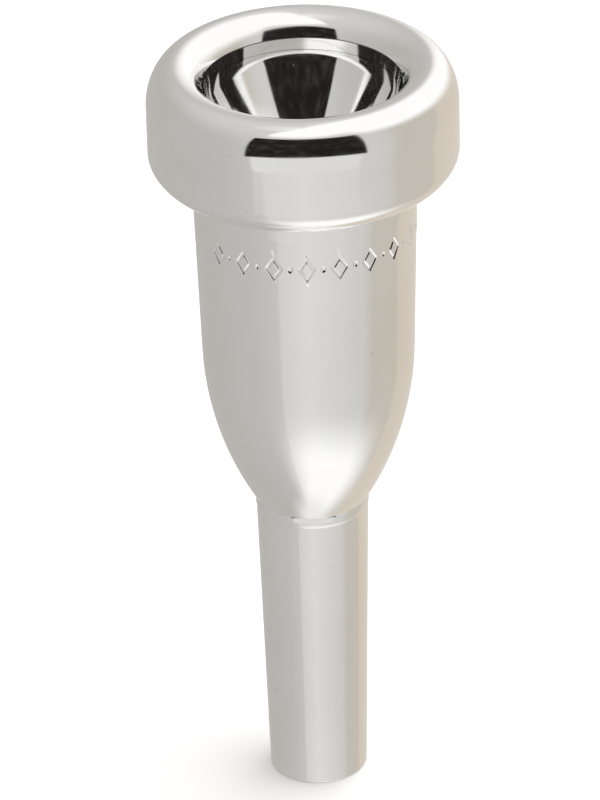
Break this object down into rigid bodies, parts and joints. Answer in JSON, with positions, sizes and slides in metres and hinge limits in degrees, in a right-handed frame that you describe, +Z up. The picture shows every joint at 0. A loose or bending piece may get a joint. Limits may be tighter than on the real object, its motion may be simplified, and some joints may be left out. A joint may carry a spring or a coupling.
{
  "type": "brass mouthpiece",
  "caption": "Silver-plated brass mouthpiece, cornet length, with a heavy rounded rim, a long cup body and a tapered shank; the rim and the shank unscrew from the cup.",
  "frame": {"origin": "centre of the shank's tip face, where the air column leaves", "axes": "+Z up the air column from the shank tip to the rim; -Y is the side with the middle of the engraved border"},
  "size_m": [0.027, 0.027, 0.0706],
  "materials": {
    "silver_plate": "mirror-polished silver plate on brass",
    "rubber_seal": "black nitrile rubber, satin"
  },
  "bodies": {
    "shank": {"shank": "silver_plate"},
    "shank_seal": {"shank_seal": "rubber_seal"},
    "cup_body": {"cup_body": "silver_plate"},
    "rim_seal": {"rim_seal": "rubber_seal"},
    "rim": {"rim": "silver_plate"}
  },
  "joints": [
    {"name": "cup_turn", "type": "hinge", "parent": "shank", "child": "shank_seal", "pos_m": [0, 0, 0.029], "axis": [0, 0, 1], "range_deg": [0, 2341]},
    {"name": "cup_lift", "type": "slide", "parent": "shank_seal", "child": "cup_body", "axis": [0, 0, 1], "range_m": [0, 0.0052]},
    {"name": "rim_turn", "type": "hinge", "parent": "cup_body", "child": "rim_seal", "pos_m": [0, 0, 0.061], "axis": [0, 0, 1], "range_deg": [0, 1981]},
    {"name": "rim_lift", "type": "slide", "parent": "rim_seal", "child": "rim", "axis": [0, 0, 1], "range_m": [0, 0.0044]}
  ],
  "couplings": [
    {"joint": "cup_turn", "follows": "cup_lift", "rad_per_m": 7854},
    {"joint": "rim_turn", "follows": "rim_lift", "rad_per_m": 7854}
  ]
}
